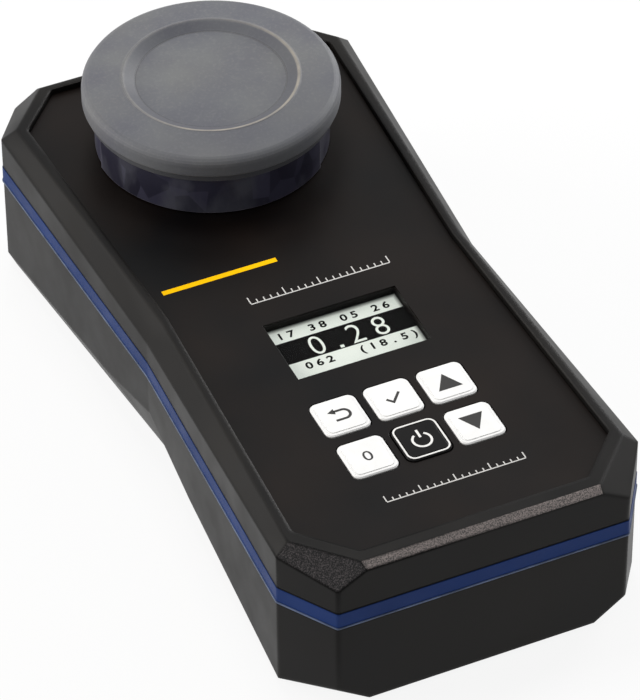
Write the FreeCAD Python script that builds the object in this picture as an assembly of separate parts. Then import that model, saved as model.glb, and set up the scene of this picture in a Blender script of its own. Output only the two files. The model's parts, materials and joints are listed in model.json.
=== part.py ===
import FreeCAD, Part
import math
import os

os.makedirs("parts", exist_ok=True)

V = FreeCAD.Vector

# Frame: millimetres, X to the right of the keypad, Y toward the cap, Z up, feet on Z = 0

# Outer plan of the housing, right half, from the front to the back
HALF_LEN = 83.5
FRONT_X = 32.4
FRONT_SIDE = (40.3, -71.4)
WAIST = (37.7, 1.0)
BACK_SIDE = (41.6, 73.0)
BACK_X = 34.2

# Heights
FOOT_PROUD = 0.8
BASE_Z = FOOT_PROUD
SPLIT_Z = 24.2
BEAD_H = 0.35
BAND_TOP = 28.2
RIM_Z = 39.0
SEAT_DEPTH = 1.9
OVERLAY_T = 0.5
SEAT_Z = RIM_Z - SEAT_DEPTH
PANEL_Z = SEAT_Z + OVERLAY_T
TOP_T = 2.3
ROOF_Z = SEAT_Z - TOP_T
WALL = 2.4
FLOOR_Z = BASE_Z + WALL
SLIDE_GAP = 0.3
FIT_GAP = 0.15
CORNER_R = 0.9

# Rim of the upper shell, right half
RIM = [(26.5, -81.5), (37.28, -70.34), (34.4, 0.4), (38.5, 71.3), (28.4, 82.4)]
SEAT = [(25.2, -78.6), (35.3, -68.2), (32.85, 1.0), (36.3, 70.2), (26.4, 80.9)]
FRONT_EDGE_DROP = 0.9
FRONT_CORNER_DROP = 4.6
BACK_CORNER_DROP = 4.6
WAIST_DROP = 5.2

# Underside facets
LOW_EDGE_Z = 1.75
LOW_BEVEL_RUN = 1.1
LOW_FRONT_X = 25.4
LOW_BACK_X = 27.0
LOW_CORNER_Z = 6.9
LOW_FRONT_SIDE_Z = 2.5
LOW_BACK_SIDE_Z = 3.6
LOW_WAIST_Z = 14.0
LOW_MID_Z = 9.0
LOW_MID_Y = 22.0
LOW_WAIST_IN = (34.6, 4.2)
LOW_SLOPE = 0.42

# Light cap
CAP_Y = 53.0
CAP_R = 28.05
CAP_TOP = 55.0
CAP_EDGE_Z = 49.4
CAP_SLOPE = 1.0
CAP_ROUND = 1.9
SKIRT_R = 25.6
SKIRT_T = 1.2
SKIRT_STEP = 0.5
SKIRT_BORE = SKIRT_R - SKIRT_T
SKIRT_Z = PANEL_Z + SLIDE_GAP
CAP_CEIL = 51.2
DISH_R = 18.9
DISH_FLOOR_R = 16.4
DISH_DEPTH = 1.4
DISH_LIP_W = 0.7
DISH_LIP_H = 0.14
CAP_LIP = 1.9
LINER_T = 0.8

# Sample chamber
COLLAR_R = SKIRT_BORE - 0.5
COLLAR_TOP = 43.5
COLLAR_BORE = 13.6
COLLAR_TUBE_R = 16.7
COLLAR_END_Z = 32.0
GROOVE_Z = 40.6
GROOVE_H = 0.8
GROOVE_DEPTH = 0.95
SEAL_CORD = 0.55
WELL_R = 12.4
WELL_FLOOR_Z = 5.6
BLOCK_HALF = 19.0
BLOCK_TOP = COLLAR_END_Z
CUVETTE_R = WELL_R - 0.4
CUVETTE_WALL = 1.3
CUVETTE_Z = WELL_FLOOR_Z + SLIDE_GAP
CUVETTE_SHOULDER = 37.0
NECK_R = 10.2
NECK_TOP = 46.0
LID_R = COLLAR_BORE - 0.6
LID_Z = 38.6
GRIPS = 24
LID_TOP = CAP_CEIL - LINER_T - 0.5
BEAM_Z = (16.0, 24.0)
LED_R = 2.5
LED_BOARD_W = 35.0
LED_BOARD_Z = (8.0, 31.0)
LED_DOME = 2.5

# Display
WIN_W = 30.4
WIN_H = 18.2
WIN_Y = -17.3
LCD_DROP = 2.0
LCD_Z = PANEL_Z - LCD_DROP
WINDOW_T = 0.6
GLASS_HALF = 17.2
GLASS_FRONT = 12.4
GLASS_BACK = 11.0
LCD_FRAME_WALL = 1.4
LCD_CLIP_X = 14.0
FLEX_W = 14.0

# Keys
KEY_W = 10.1
KEY_H = 10.5
KEY_PITCH = 12.03
KEY_Y = -40.1
KEY_ROW_PITCH = 13.4
KEY_PROUD = 0.45
KEY_TRAVEL = 0.5
KEY_RADIUS = 1.7
KEY_TOP = PANEL_Z + KEY_PROUD
KEY_STEP = 0.15
KEY_MARGIN = 0.85
KEY_BOTTOM = 33.0
KEY_FLANGE_T = 0.9
KEY_NAMES = [["key_back", "key_enter", "key_up"], ["key_zero", "key_power", "key_down"]]

# Main circuit board
PCB_Z = 28.5
PCB_T = 1.6
PCB_TOP = PCB_Z + PCB_T
PCB_HALF = 29.5
PCB_Y = (-67.0, 26.0)
PCB_SCREWS = [(-25.5, -62.0), (25.5, -62.0), (-25.5, 21.0), (25.5, 21.0)]

# Battery bay
BAY_Y = -39.0
CELL_R = 5.25
CELL_L = 43.3
CELL_PITCH = 11.4
BAY_END = 4.35
BAY_SIDE = 2.35
BAY_W = 2 * (CELL_PITCH + CELL_R + BAY_SIDE)
BAY_L = CELL_L + 2 * BAY_END
DOOR_LAP = 4.0
DOOR_W = BAY_W + 2 * DOOR_LAP
DOOR_L = BAY_L + 2 * DOOR_LAP
DOOR_T = 1.9
GASKET_T = 0.45
DOOR_SCREW_R = 1.0
LEDGE_Z = BASE_Z + DOOR_T + GASKET_T + SLIDE_GAP
LEDGE_T = 2.4
CELL_Z = 9.6
CELL_TIP = 1.2
TRAY_TOP = 17.2
TRAY_GAP = 0.2
TRAY_END = 1.4
LEAF_T = 0.4

# Housing screws and feet
BOSS_XY = [(-30.3, -72.0), (30.3, -72.0), (-32.6, 71.4), (32.6, 71.4)]
BOSS_R = 3.5
SCREW_R = 1.3
SCREW_TOP = 31.5
FEET_XY = [(-19.0, -76.0), (19.0, -76.0), (-24.0, 76.0), (24.0, 76.0)]
FOOT_R = 4.2
FOOT_DEPTH = 1.0


# Plain helpers

def ring_points(right, z=0.0):
    pts = [V(x, y, z) for x, y in right]
    pts += [V(-x, y, z) for x, y in reversed(right)]
    return pts


def prism(right, z0, z1):
    pts = ring_points(right, z0)
    face = Part.Face(Part.makePolygon(pts + [pts[0]]))
    return face.extrude(V(0, 0, z1 - z0))


def inset(right, amount):
    # Moves each straight side of the mirrored outline inward by one amount
    full = [(x, y) for x, y in right] + [(-x, y) for x, y in reversed(right)]
    n = len(full)
    out = []
    for i in range(len(right)):
        p0 = full[i - 1]
        p1 = full[i]
        p2 = full[(i + 1) % n]
        a = shift_line(p0, p1, amount)
        b = shift_line(p1, p2, amount)
        out.append(cross_lines(a, b))
    return out


def shift_line(p, q, amount):
    dx = q[0] - p[0]
    dy = q[1] - p[1]
    ln = math.hypot(dx, dy)
    nx = -dy / ln
    ny = dx / ln
    return ((p[0] + nx * amount, p[1] + ny * amount), (dx / ln, dy / ln))


def cross_lines(a, b):
    (px, py), (dx, dy) = a
    (qx, qy), (ex, ey) = b
    den = dx * ey - dy * ex
    t = ((qx - px) * ey - (qy - py) * ex) / den
    return (px + dx * t, py + dy * t)


def box(x0, x1, y0, y1, z0, z1):
    return Part.makeBox(x1 - x0, y1 - y0, z1 - z0, V(x0, y0, z0))


def round_box(w, h, z0, z1, r, cx=0.0, cy=0.0):
    b = box(cx - w / 2, cx + w / 2, cy - h / 2, cy + h / 2, z0, z1)
    edges = [e for e in b.Edges if abs(e.Vertexes[0].Z - e.Vertexes[1].Z) > 1e-6]
    return b.makeFillet(r, edges)


def cyl(r, z0, z1, x=0.0, y=0.0):
    return Part.makeCylinder(r, z1 - z0, V(x, y, z0), V(0, 0, 1))


def tube(r_out, r_in, z0, z1, x=0.0, y=0.0):
    return cyl(r_out, z0, z1, x, y).cut(cyl(r_in, z0 - 1, z1 + 1, x, y))


def turned(points, x=0.0, y=0.0):
    pts = [V(r, 0, z) for r, z in points]
    face = Part.Face(Part.makePolygon(pts + [pts[0]]))
    solid = face.revolve(V(0, 0, 0), V(0, 0, 1), 360)
    solid.translate(V(x, y, 0))
    return solid


def keep_below(solid, p, q, r):
    # Keeps the part of a solid on the inner side of the plane p, q, r (inner side holds the axis)
    normal = (q - p).cross(r - p)
    normal.normalize()
    inner = V(0, p.y * 0.2, 15)
    if (inner - p).dot(normal) > 0:
        normal = normal * -1
    big = 400
    tool = Part.makeBox(big, big, big, V(-big / 2, -big / 2, 0))
    tool.Placement = FreeCAD.Placement(p, FreeCAD.Rotation(V(0, 0, 1), normal))
    return solid.cut(tool)


def moved_plane(points, amount):
    p, q, r = points
    normal = (q - p).cross(r - p)
    normal.normalize()
    inner = V(0, p.y * 0.2, 15)
    if (inner - p).dot(normal) < 0:
        normal = normal * -1
    return [a + normal * amount for a in points]


def mirror_x(points):
    return [V(-a.x, a.y, a.z) for a in points]


def group(shapes):
    # Separate solids that share one node
    return Part.makeCompound(shapes)


def is_ring(edge, r, z):
    if edge.Curve.TypeId != "Part::GeomCircle":
        return False
    return abs(edge.Curve.Radius - r) < 0.02 and abs(edge.Curve.Center.z - z) < 0.02


def fuse_all(shapes):
    out = shapes[0]
    for s in shapes[1:]:
        out = out.fuse(s)
    return out.removeSplitter()


def cut_all(shape, tools):
    for t in tools:
        shape = shape.cut(t)
    return shape


# Plan outline of the walls

WALLS = [(FRONT_X, -HALF_LEN), FRONT_SIDE, WAIST, BACK_SIDE, (BACK_X, HALF_LEN)]


def wall_x(y):
    a, b = (FRONT_SIDE, WAIST) if y < WAIST[1] else (WAIST, BACK_SIDE)
    t = (y - a[1]) / (b[1] - a[1])
    return a[0] + (b[0] - a[0]) * t


# Upper housing: straight walls, twisted side bevels, flat corner facets

def plane_z(p, q, r, x, y):
    n = (q - p).cross(r - p)
    return p.z - (n.x * (x - p.x) + n.y * (y - p.y)) / n.z


def upper_points():
    t = [V(x, y, RIM_Z) for x, y in RIM]
    v1 = V(FRONT_X, -HALF_LEN, RIM_Z - FRONT_CORNER_DROP)
    v5 = V(BACK_X, HALF_LEN, RIM_Z - BACK_CORNER_DROP)
    v2 = V(FRONT_SIDE[0], FRONT_SIDE[1], plane_z(t[0], t[1], v1, *FRONT_SIDE))
    v4 = V(BACK_SIDE[0], BACK_SIDE[1], plane_z(t[4], t[3], v5, *BACK_SIDE))
    v3 = V(WAIST[0], WAIST[1], RIM_Z - WAIST_DROP)
    b1 = edge_point(t[0], t[1], v1, -HALF_LEN)
    b5 = edge_point(t[4], t[3], v5, HALF_LEN)
    return t, [v1, v2, v3, v4, v5], b1, b5


def edge_point(p, q, r, y):
    n = (q - p).cross(r - p)
    z = RIM_Z - FRONT_EDGE_DROP
    x = p.x - (n.y * (y - p.y) + n.z * (z - p.z)) / n.x
    return V(x, y, z)


def poly_face(pts):
    return Part.Face(Part.makePolygon(pts + [pts[0]]))


def ruled(a, b, c, d):
    return Part.makeRuledSurface(Part.makeLine(a, b), Part.makeLine(d, c))


def flip(p):
    return V(-p.x, p.y, p.z)


def drop(p, z):
    return V(p.x, p.y, z)


def upper_block(z0):
    t, v, b1, b5 = upper_points()
    v1, v2, v3, v4, v5 = v
    low = [drop(p, z0) for p in v]
    faces = []
    for side in (1, -1):
        f = (lambda p: p) if side == 1 else flip
        one = [
            [v1, v2, low[1], low[0]],
            [v2, v3, low[2], low[1]],
            [v3, v4, low[3], low[2]],
            [v4, v5, low[4], low[3]],
            [t[0], t[1], v2, v1, b1],
            [t[4], t[3], v4, v5, b5],
        ]
        for pts in one:
            faces.append(poly_face([f(p) for p in pts]))
        faces.append(ruled(f(t[1]), f(t[2]), f(v3), f(v2)))
        faces.append(ruled(f(t[2]), f(t[3]), f(v4), f(v3)))
    faces.append(poly_face([b1, v1, low[0], flip(low[0]), flip(v1), flip(b1)]))
    faces.append(poly_face([b5, v5, low[4], flip(low[4]), flip(v5), flip(b5)]))
    faces.append(poly_face([t[0], b1, flip(b1), flip(t[0])]))
    faces.append(poly_face([t[4], b5, flip(b5), flip(t[4])]))
    faces.append(poly_face(ring_points(RIM, RIM_Z)))
    faces.append(poly_face(ring_points(WALLS, z0)))
    shell = Part.makeCompound(faces)
    shell.sewShape()
    return Part.Solid(shell.Shells[0])


def upright(e):
    a = e.Vertexes[0].Point
    b = e.Vertexes[-1].Point
    return abs(a.x - b.x) < 1e-4 and abs(a.y - b.y) < 1e-4 and abs(a.z - b.z) > 0.1


def upright_corner(e):
    return upright(e) and abs(e.Vertexes[0].Point.y - WAIST[1]) > 20


def soften(solid, size, test):
    edges = [e for e in solid.Edges if test(e)]
    return solid.makeFillet(size, edges)


def round_walls(amount, z0, z1):
    # Straight walls with the eight outer corners rounded
    block = prism(inset(WALLS, amount) if amount else WALLS, z0, z1)
    return soften(block, CORNER_R, upright_corner)


# Lower housing: plane-cut prism, front half and back half

def lower_planes():
    mid_f = V(wall_x(-LOW_MID_Y), -LOW_MID_Y, LOW_MID_Z)
    mid_b = V(wall_x(LOW_MID_Y), LOW_MID_Y, LOW_MID_Z)
    waist_hi = V(WAIST[0], WAIST[1], LOW_WAIST_Z)
    waist_in = V(LOW_WAIST_IN[0], WAIST[1], LOW_WAIST_IN[1])
    fs = V(FRONT_SIDE[0], FRONT_SIDE[1], LOW_FRONT_SIDE_Z)
    bs = V(BACK_SIDE[0], BACK_SIDE[1], LOW_BACK_SIDE_Z)
    fs_in = V(fs.x - (fs.z - BASE_Z) * LOW_SLOPE, fs.y, BASE_Z)
    bs_in = V(bs.x - (bs.z - BASE_Z) * LOW_SLOPE, bs.y, BASE_Z)
    front = [
        [fs, mid_f, fs_in],
        [waist_hi, mid_f, waist_in],
        [V(LOW_FRONT_X, -HALF_LEN, LOW_EDGE_Z), V(FRONT_X, -HALF_LEN, LOW_CORNER_Z), fs],
    ]
    back = [
        [bs, mid_b, bs_in],
        [waist_hi, mid_b, waist_in],
        [V(LOW_BACK_X, HALF_LEN, LOW_EDGE_Z), V(BACK_X, HALF_LEN, LOW_CORNER_Z), bs],
    ]
    return front, back


def lower_block(amount, top):
    # Solid lower body with every outer surface moved inward by one amount
    walls = inset(WALLS, amount) if amount else WALLS
    wx, wy = walls[2]
    front_plan = [walls[0], walls[1], walls[2]]
    back_plan = [walls[2], walls[3], walls[4]]
    front, back = lower_planes()
    halves = []
    for plan, planes, sign in ((front_plan, front, -1), (back_plan, back, 1)):
        half = prism(plan, BASE_Z + amount, top)
        for pl in planes:
            m = moved_plane(pl, amount) if amount else pl
            half = keep_below(half, *m)
            half = keep_below(half, *mirror_x(m))
        edge = [
            V(0, sign * HALF_LEN, LOW_EDGE_Z),
            V(10, sign * HALF_LEN, LOW_EDGE_Z),
            V(0, sign * (HALF_LEN - LOW_BEVEL_RUN), BASE_Z),
        ]
        edge = moved_plane(edge, amount) if amount else edge
        half = keep_below(half, *edge)
        halves.append(half)
    return fuse_all(halves)


def lower_shell():
    body = lower_block(0.0, SPLIT_Z).common(round_walls(0.0, -1.0, SPLIT_Z))
    hollow = lower_block(WALL, SPLIT_Z + 1)
    body = body.cut(hollow)
    lip_out = prism(inset(WALLS, WALL - 1.0), SPLIT_Z - 2.0, BAND_TOP - 0.8)
    lip_in = prism(inset(WALLS, WALL), SPLIT_Z - 3.0, BAND_TOP)
    body = body.fuse(lip_out.cut(lip_in))
    frame_out = round_box(DOOR_W + 7, DOOR_L + 7, FLOOR_Z - 0.6, LEDGE_Z + LEDGE_T, 5, 0, BAY_Y)
    body = body.fuse(frame_out)
    for x, y in BOSS_XY:
        body = body.fuse(cyl(BOSS_R, FLOOR_Z - 0.5, SPLIT_Z, x, y))
        body = body.fuse(boss_ribs(x, y))
    for x, y in door_screw_xy():
        body = body.fuse(cyl(2.9, LEDGE_Z, 12.0, x, y))
    body = body.removeSplitter()
    body = body.cut(round_box(DOOR_W + 2 * SLIDE_GAP, DOOR_L + 2 * SLIDE_GAP, -1, LEDGE_Z, 4.3, 0, BAY_Y))
    body = body.cut(round_box(BAY_W, BAY_L, 0, 30, 1.5, 0, BAY_Y).common(box(-40, 40, -100, 60, 0, 12)))
    for x, y in BOSS_XY:
        body = body.cut(cyl(2.9, -1, 3.6, x, y))
        body = body.cut(cyl(SCREW_R, 0, SPLIT_Z + 1, x, y))
    for x, y in door_screw_xy():
        body = body.cut(cyl(DOOR_SCREW_R + SLIDE_GAP, 0, 10.6, x, y))
    for x, y in FEET_XY:
        body = body.cut(cyl(FOOT_R, -1, BASE_Z + FOOT_DEPTH, x, y))
    for i in range(5):
        y0 = 22.0 + i * 5.0
        body = body.cut(box(-12.0, 12.0, y0, y0 + 1.2, BASE_Z - 1, BASE_Z + 0.5))
    return body


def boss_ribs(x, y):
    s = 1 if x > 0 else -1
    t = 1 if y > 0 else -1
    reach = 5.2
    a = box(min(x, x + s * reach), max(x, x + s * reach), y - 0.7, y + 0.7, FLOOR_Z - 0.4, SPLIT_Z - 4)
    b = box(x - 0.7, x + 0.7, min(y, y + t * 8.5), max(y, y + t * 8.5), FLOOR_Z + 2.5, SPLIT_Z - 4)
    return a.fuse(b).common(lower_block(WALL - 0.5, SPLIT_Z))


def door_screw_xy():
    return [(0.0, BAY_Y - BAY_L / 2 - 2.2), (0.0, BAY_Y + BAY_L / 2 + 2.2)]


def sealing_band():
    z0 = SPLIT_Z + BEAD_H
    outer = round_walls(-0.12, z0, BAND_TOP)
    inner = prism(inset(WALLS, WALL - 1.0), z0 - 1, BAND_TOP + 1)
    return outer.cut(inner)


def band_bead():
    outer = round_walls(-0.3, SPLIT_Z, SPLIT_Z + BEAD_H)
    inner = prism(inset(WALLS, WALL - 1.0), SPLIT_Z - 1, BAND_TOP + 1)
    return outer.cut(inner)


def seat_void(gap, z0, z1):
    s = prism(inset(SEAT, gap) if gap else SEAT, z0, z1)
    return soften(s, 1.2, upright)


def upper_shell():
    body = upper_block(BAND_TOP).common(round_walls(0.0, BAND_TOP, RIM_Z + 1))
    hollow = prism(inset(WALLS, WALL), BAND_TOP - 1, 32.6)
    hollow = hollow.fuse(prism(inset(WALLS, WALL + 2.2), 32.0, ROOF_Z))
    body = body.cut(hollow)
    body = body.cut(seat_void(0.0, SEAT_Z, RIM_Z + 1))
    for x, y in BOSS_XY:
        body = body.fuse(cyl(BOSS_R, SPLIT_Z, ROOF_Z + 0.5, x, y))
    for x, y in PCB_SCREWS:
        body = body.fuse(cyl(2.6, PCB_TOP, ROOF_Z + 0.5, x, y))
    ridge = tube(COLLAR_TUBE_R + 3.0, COLLAR_TUBE_R + 0.6, BLOCK_TOP + 0.4, ROOF_Z + 0.5, 0, CAP_Y)
    body = body.fuse(ridge)
    body = body.removeSplitter()
    body = body.cut(cyl(COLLAR_TUBE_R + 0.1, 20, 60, 0, CAP_Y))
    body = body.cut(box(-WIN_W / 2, WIN_W / 2, WIN_Y - WIN_H / 2, WIN_Y + WIN_H / 2, 30, 60))
    for x, y, name in key_places():
        body = body.cut(key_hole(x, y, 30, 60))
    for x, y in BOSS_XY:
        body = body.cut(cyl(SCREW_R, 20, SCREW_TOP + 0.3, x, y))
    for x, y in PCB_SCREWS:
        body = body.cut(cyl(0.9, 20, ROOF_Z - 0.3, x, y))
    return body


def key_places():
    out = []
    for row in range(2):
        y = KEY_Y - row * KEY_ROW_PITCH
        for col in range(3):
            out.append(((col - 1) * KEY_PITCH, y, KEY_NAMES[row][col]))
    return out


def key_hole(x, y, z0, z1):
    return round_box(KEY_W + 2 * SLIDE_GAP, KEY_H + 2 * SLIDE_GAP, z0, z1, KEY_RADIUS + SLIDE_GAP, x, y)


def panel_overlay():
    sheet = seat_void(FIT_GAP, SEAT_Z, PANEL_Z)
    sheet = sheet.cut(cyl(COLLAR_R + 0.2, 30, 60, 0, CAP_Y))
    sheet = sheet.cut(box(-WIN_W / 2, WIN_W / 2, WIN_Y - WIN_H / 2, WIN_Y + WIN_H / 2, 30, 60))
    for x, y, name in key_places():
        sheet = sheet.cut(key_hole(x, y, 30, 60))
    return sheet


def key_shape(x, y):
    step_z = KEY_TOP - KEY_STEP
    pad = round_box(KEY_W, KEY_H, KEY_BOTTOM + KEY_FLANGE_T, step_z, KEY_RADIUS, x, y)
    top = [e for e in pad.Edges if min(v.Z for v in e.Vertexes) > step_z - 1e-4]
    pad = pad.makeChamfer(0.25, top)
    w = KEY_W - 2 * KEY_MARGIN
    h = KEY_H - 2 * KEY_MARGIN
    pad = pad.fuse(round_box(w, h, step_z - 0.5, KEY_TOP, KEY_RADIUS - 0.6, x, y))
    flange = round_box(KEY_W + 1.2, KEY_H + 1.2, KEY_BOTTOM, KEY_BOTTOM + KEY_FLANGE_T, KEY_RADIUS, x, y)
    body = pad.fuse(flange)
    body = body.cut(round_box(KEY_W - 2.4, KEY_H - 2.4, KEY_BOTTOM - 1, KEY_TOP - 1.4, 1.0, x, y))
    post = cyl(1.5, KEY_BOTTOM, KEY_TOP - 1.2, x, y)
    return body.fuse(post).removeSplitter()


def keypad_mat():
    xs = KEY_PITCH + KEY_W / 2 + 1.2
    y0 = KEY_Y - KEY_ROW_PITCH - KEY_H / 2 - 1.2
    y1 = KEY_Y + KEY_H / 2 + 1.2
    mat = box(-xs, xs, y0, y1, PCB_TOP, PCB_TOP + 0.5)
    for x, y, name in key_places():
        dome = Part.makeCone(3.6, 1.8, KEY_BOTTOM - 0.8 - PCB_TOP - 0.4, V(x, y, PCB_TOP + 0.4))
        mat = mat.fuse(dome)
    return mat.removeSplitter()


def main_board():
    h = PCB_HALF
    y0, y1 = PCB_Y
    pts = [(h - 3, y0), (h, y0 + 3), (h, y1 - 4), (h - 4, y1)]
    board = prism(pts, PCB_Z, PCB_TOP)
    for x, y in PCB_SCREWS:
        board = board.cut(cyl(1.1, 20, 40, x, y))
    board = board.cut(box(-6.0, 6.0, y1 - 3.0, y1 + 1, 20, 40))
    return board


def display_window():
    w = WIN_W - 2 * FIT_GAP
    h = WIN_H - 2 * FIT_GAP
    z0 = LCD_Z + 0.1
    return box(-w / 2, w / 2, WIN_Y - h / 2, WIN_Y + h / 2, z0, z0 + WINDOW_T)


def lcd_glass():
    w = WIN_W - 2 * FIT_GAP
    h = WIN_H - 2 * FIT_GAP
    front = box(-w / 2, w / 2, WIN_Y - h / 2, WIN_Y + h / 2, ROOF_Z - 0.3, LCD_Z)
    y0 = WIN_Y - GLASS_FRONT
    y1 = WIN_Y + GLASS_BACK
    rear = box(-GLASS_HALF, GLASS_HALF, y0, y1, ROOF_Z - 1.3, ROOF_Z - 0.3)
    return front.fuse(rear).removeSplitter()


def lcd_backlight():
    w = 2 * GLASS_HALF - 0.8
    h = GLASS_FRONT + GLASS_BACK - 1.4
    y = WIN_Y + (GLASS_BACK - GLASS_FRONT) / 2
    return round_box(w, h, PCB_TOP + 0.8, ROOF_Z - 1.3, 0.8, 0, y)


def lcd_frame():
    w = GLASS_HALF
    wall = LCD_FRAME_WALL
    y0 = WIN_Y - GLASS_FRONT
    y1 = WIN_Y + GLASS_BACK
    base = box(-w - wall, w + wall, y0 - wall, y1 + wall, PCB_TOP, ROOF_Z - 0.4)
    base = base.cut(box(-w, w, y0, y1, PCB_TOP + 0.8, ROOF_Z + 1))
    for x in (-LCD_CLIP_X, LCD_CLIP_X):
        base = base.fuse(box(x - 1.5, x + 1.5, y0 - wall - 1.0, y0 - wall, PCB_TOP, PCB_TOP + 1.6))
        base = base.fuse(box(x - 1.5, x + 1.5, y1 + wall, y1 + wall + 1.0, PCB_TOP, PCB_TOP + 1.6))
    return base.removeSplitter()


def lcd_flex():
    # Flat cable from the board up to the display edge
    y = WIN_Y + GLASS_BACK + LCD_FRAME_WALL
    pts = [V(0, y + 6.0, PCB_TOP), V(0, y + 6.0, PCB_TOP + 0.3), V(0, y + 2.5, PCB_TOP + 0.3),
           V(0, y + 0.3, PCB_TOP + 2.6), V(0, y, PCB_TOP + 2.6), V(0, y, PCB_TOP + 2.3),
           V(0, y + 2.4, PCB_TOP)]
    face = Part.Face(Part.makePolygon(pts + [pts[0]]))
    solid = face.extrude(V(FLEX_W, 0, 0))
    solid.translate(V(-FLEX_W / 2, 0, 0))
    return solid


def chip(w, l, t, x, y, z, legs):
    body = round_box(w - 2.0, l - 2.0, z + 0.15, z + t, 0.3, x, y)
    body = body.fuse(box(x - 1.2, x + 1.2, y - 1.2, y + 1.2, z, z + 0.3))
    n = int((l - 3.0) / legs)
    for i in range(n):
        py = y - (n - 1) * legs / 2 + i * legs
        for s in (-1, 1):
            xa = x + s * (w / 2 - 1.3)
            xb = x + s * w / 2
            body = body.fuse(box(min(xa, xb), max(xa, xb), py - 0.25, py + 0.25, z, z + 0.5))
    return body.removeSplitter()


def chip_under(w, l, t, x, y, z, legs):
    c = chip(w, l, t, x, y, 0, legs)
    c = c.mirror(V(0, 0, 0), V(0, 0, 1))
    c.translate(V(0, 0, z))
    return c


def radio_module():
    x, y = 18.5, 12.0
    base = box(x - 7.5, x + 7.5, y - 5.5, y + 5.5, PCB_TOP, PCB_TOP + 0.7)
    can = round_box(10.4, 9.6, PCB_TOP + 0.7, PCB_TOP + 2.4, 0.6, x - 1.6, y)
    return base.fuse(can).removeSplitter()


def buzzer():
    x, y = -18.5, 10.0
    top = PCB_TOP + 3.4
    body = turned([(0, PCB_TOP), (5.0, PCB_TOP), (5.0, top - 0.4), (4.6, top), (0, top)], x, y)
    return body.cut(cyl(1.0, PCB_TOP + 2.2, PCB_TOP + 4, x, y))


def board_connector():
    z1 = PCB_Z
    body = box(-9.0, 9.0, 13.5, 18.5, z1 - 4.6, z1)
    body = body.cut(box(-7.8, 7.8, 14.5, 17.5, z1 - 5, z1 - 1.2))
    return body


def pan_screw(x, y, head_z, head_r, head_t, r, tip_z):
    up = 1 if tip_z > head_z else -1
    z1 = head_z + up * head_t
    if up > 0:
        head = cyl(head_r, head_z, z1, x, y)
        shaft = cyl(r, z1 - 0.1, tip_z, x, y)
        slot = cross_slot(x, y, head_z - 0.1, head_z + head_t * 0.55, head_r)
    else:
        head = cyl(head_r, z1, head_z, x, y)
        shaft = cyl(r, tip_z, z1 + 0.1, x, y)
        slot = cross_slot(x, y, head_z - head_t * 0.55, head_z + 0.1, head_r)
    rim = [e for e in head.Edges if is_ring(e, head_r, head_z)]
    head = head.makeChamfer(head_t * 0.25, rim)
    return head.fuse(shaft).removeSplitter().cut(slot)


def cross_slot(x, y, z0, z1, r):
    a = box(x - r * 0.62, x + r * 0.62, y - r * 0.13, y + r * 0.13, z0, z1)
    b = box(x - r * 0.13, x + r * 0.13, y - r * 0.62, y + r * 0.62, z0, z1)
    return a.fuse(b)


def board_screws():
    head_z = PCB_Z - 1.2
    return group([pan_screw(x, y, head_z, 2.0, 1.2, 0.9, ROOF_Z - 0.6) for x, y in PCB_SCREWS])


def door_screws():
    head_z = BASE_Z + 0.1
    return group([pan_screw(x, y, head_z, 2.1, 1.0, DOOR_SCREW_R, 10.0) for x, y in door_screw_xy()])


def housing_screws():
    return group([pan_screw(x, y, 1.5, 2.7, 2.1, SCREW_R, SCREW_TOP) for x, y in BOSS_XY])


# Sample chamber and optics

def optical_block():
    h = BLOCK_HALF
    body = round_box(2 * h, 2 * h, FLOOR_Z, BLOCK_TOP, 3.0, 0, CAP_Y)
    body = body.cut(cyl(WELL_R, WELL_FLOOR_Z, BLOCK_TOP + 1, 0, CAP_Y))
    for z in BEAM_Z:
        body = body.cut(Part.makeCylinder(LED_R + 0.1, 2 * h + 2, V(-h - 1, CAP_Y, z), V(1, 0, 0)))
    for s in (-1, 1):
        for dy in (-15.0, 15.0):
            body = body.cut(Part.makeCylinder(0.9, 6, V(s * (h + 0.01), CAP_Y + dy, 20), V(-s, 0, 0)))
    for s in (-1, 1):
        for y in (CAP_Y - h, CAP_Y + h):
            t = -1 if y < CAP_Y else 1
            body = body.cut(box(-11, 11, min(y, y - t * 2.2), max(y, y - t * 2.2), 8, 28))
    return body


def chamber_collar():
    r = COLLAR_R
    pts = [
        (COLLAR_BORE, COLLAR_END_Z), (COLLAR_TUBE_R, COLLAR_END_Z), (COLLAR_TUBE_R, SEAT_Z),
        (r, SEAT_Z), (r, GROOVE_Z - GROOVE_H), (r - GROOVE_DEPTH, GROOVE_Z - GROOVE_H),
        (r - GROOVE_DEPTH, GROOVE_Z + GROOVE_H), (r, GROOVE_Z + GROOVE_H),
        (r, COLLAR_TOP - 0.7), (r - 0.7, COLLAR_TOP), (COLLAR_BORE + 1.2, COLLAR_TOP),
        (COLLAR_BORE, COLLAR_TOP - 1.2),
    ]
    body = turned(pts, 0, CAP_Y)
    for i in range(12):
        a = math.radians(15 + 30 * i)
        x = (r - 3.0) * math.cos(a)
        y = CAP_Y + (r - 3.0) * math.sin(a)
        body = body.cut(cyl(1.5, COLLAR_TOP - 1.2, COLLAR_TOP + 1, x, y))
    return body


def o_ring(r_mid, r_cord, z):
    # Ring seal with an eight-sided cord
    pts = []
    for i in range(8):
        a = math.radians(45 * i)
        pts.append((r_mid + r_cord * math.cos(a), z + r_cord * math.sin(a)))
    return turned(pts, 0, CAP_Y)


def collar_seal():
    return o_ring(COLLAR_R - GROOVE_DEPTH + SEAL_CORD, SEAL_CORD, GROOVE_Z)


def cuvette_seal():
    return o_ring(COLLAR_BORE - SEAL_CORD, SEAL_CORD, COLLAR_END_Z + SEAL_CORD)


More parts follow.
